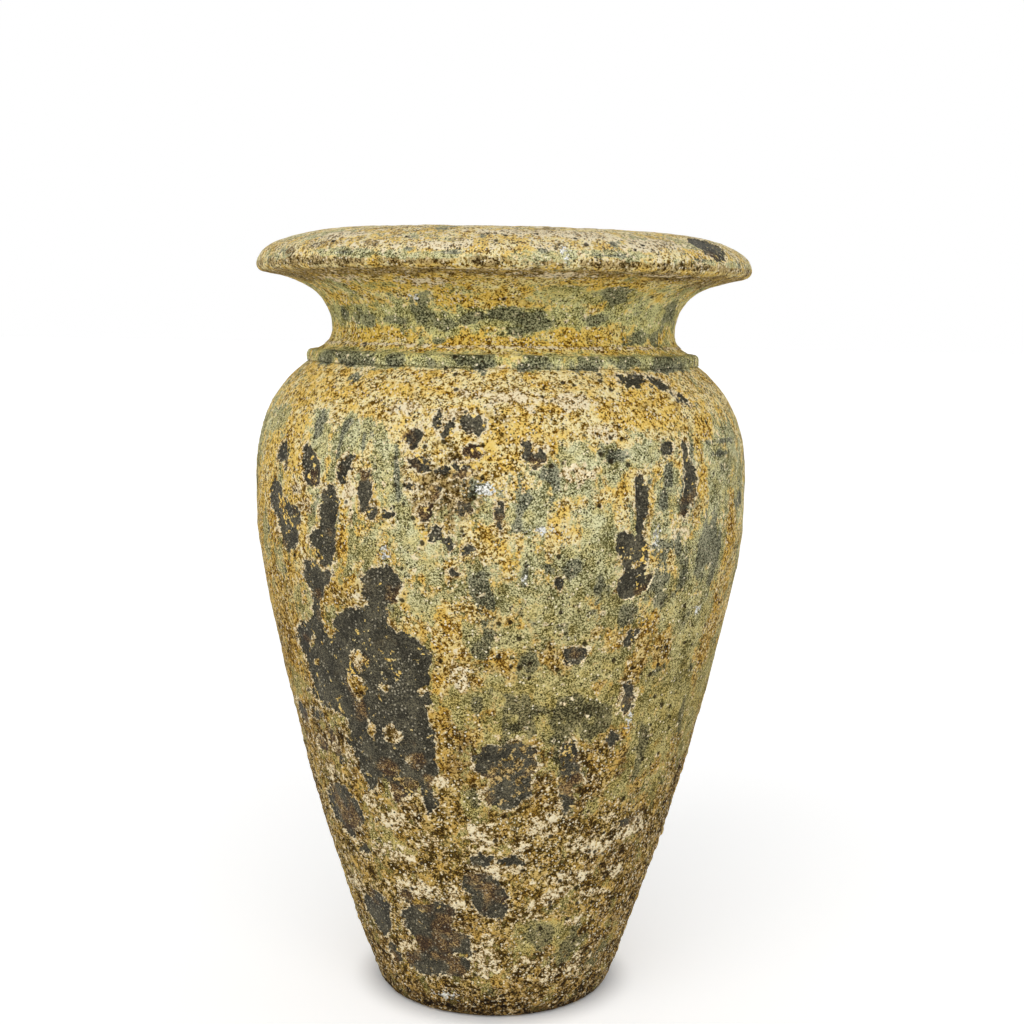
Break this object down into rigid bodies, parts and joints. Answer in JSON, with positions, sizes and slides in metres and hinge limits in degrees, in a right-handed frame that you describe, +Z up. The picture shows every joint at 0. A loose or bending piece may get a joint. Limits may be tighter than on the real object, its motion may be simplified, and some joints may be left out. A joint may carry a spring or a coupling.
{
  "type": "stoneware vase",
  "caption": "Tall round stoneware vase with tapered body, full shoulder, raised collar, waisted neck and wide flared rim, in a flaked and sand-crusted weathered finish.",
  "frame": {"origin": "centre of the standing ring, on the ground", "axes": "+Z up along the axis of revolution; X and Y level"},
  "size_m": [0.5128, 0.5128, 0.8],
  "materials": {
    "weathered_stoneware": "matt ochre sand crust with grey-green wash, flaked dark patches, pale lime and small pits",
    "foot_stoneware": "matt brown crust outside, bare rough stoneware underneath"
  },
  "bodies": {
    "root": {"floor_slab": "foot_stoneware", "lower_wall": "weathered_stoneware", "middle_wall": "weathered_stoneware", "shoulder": "weathered_stoneware", "collar_ring": "weathered_stoneware", "neck": "weathered_stoneware", "rim": "weathered_stoneware"}
  },
  "joints": []
}
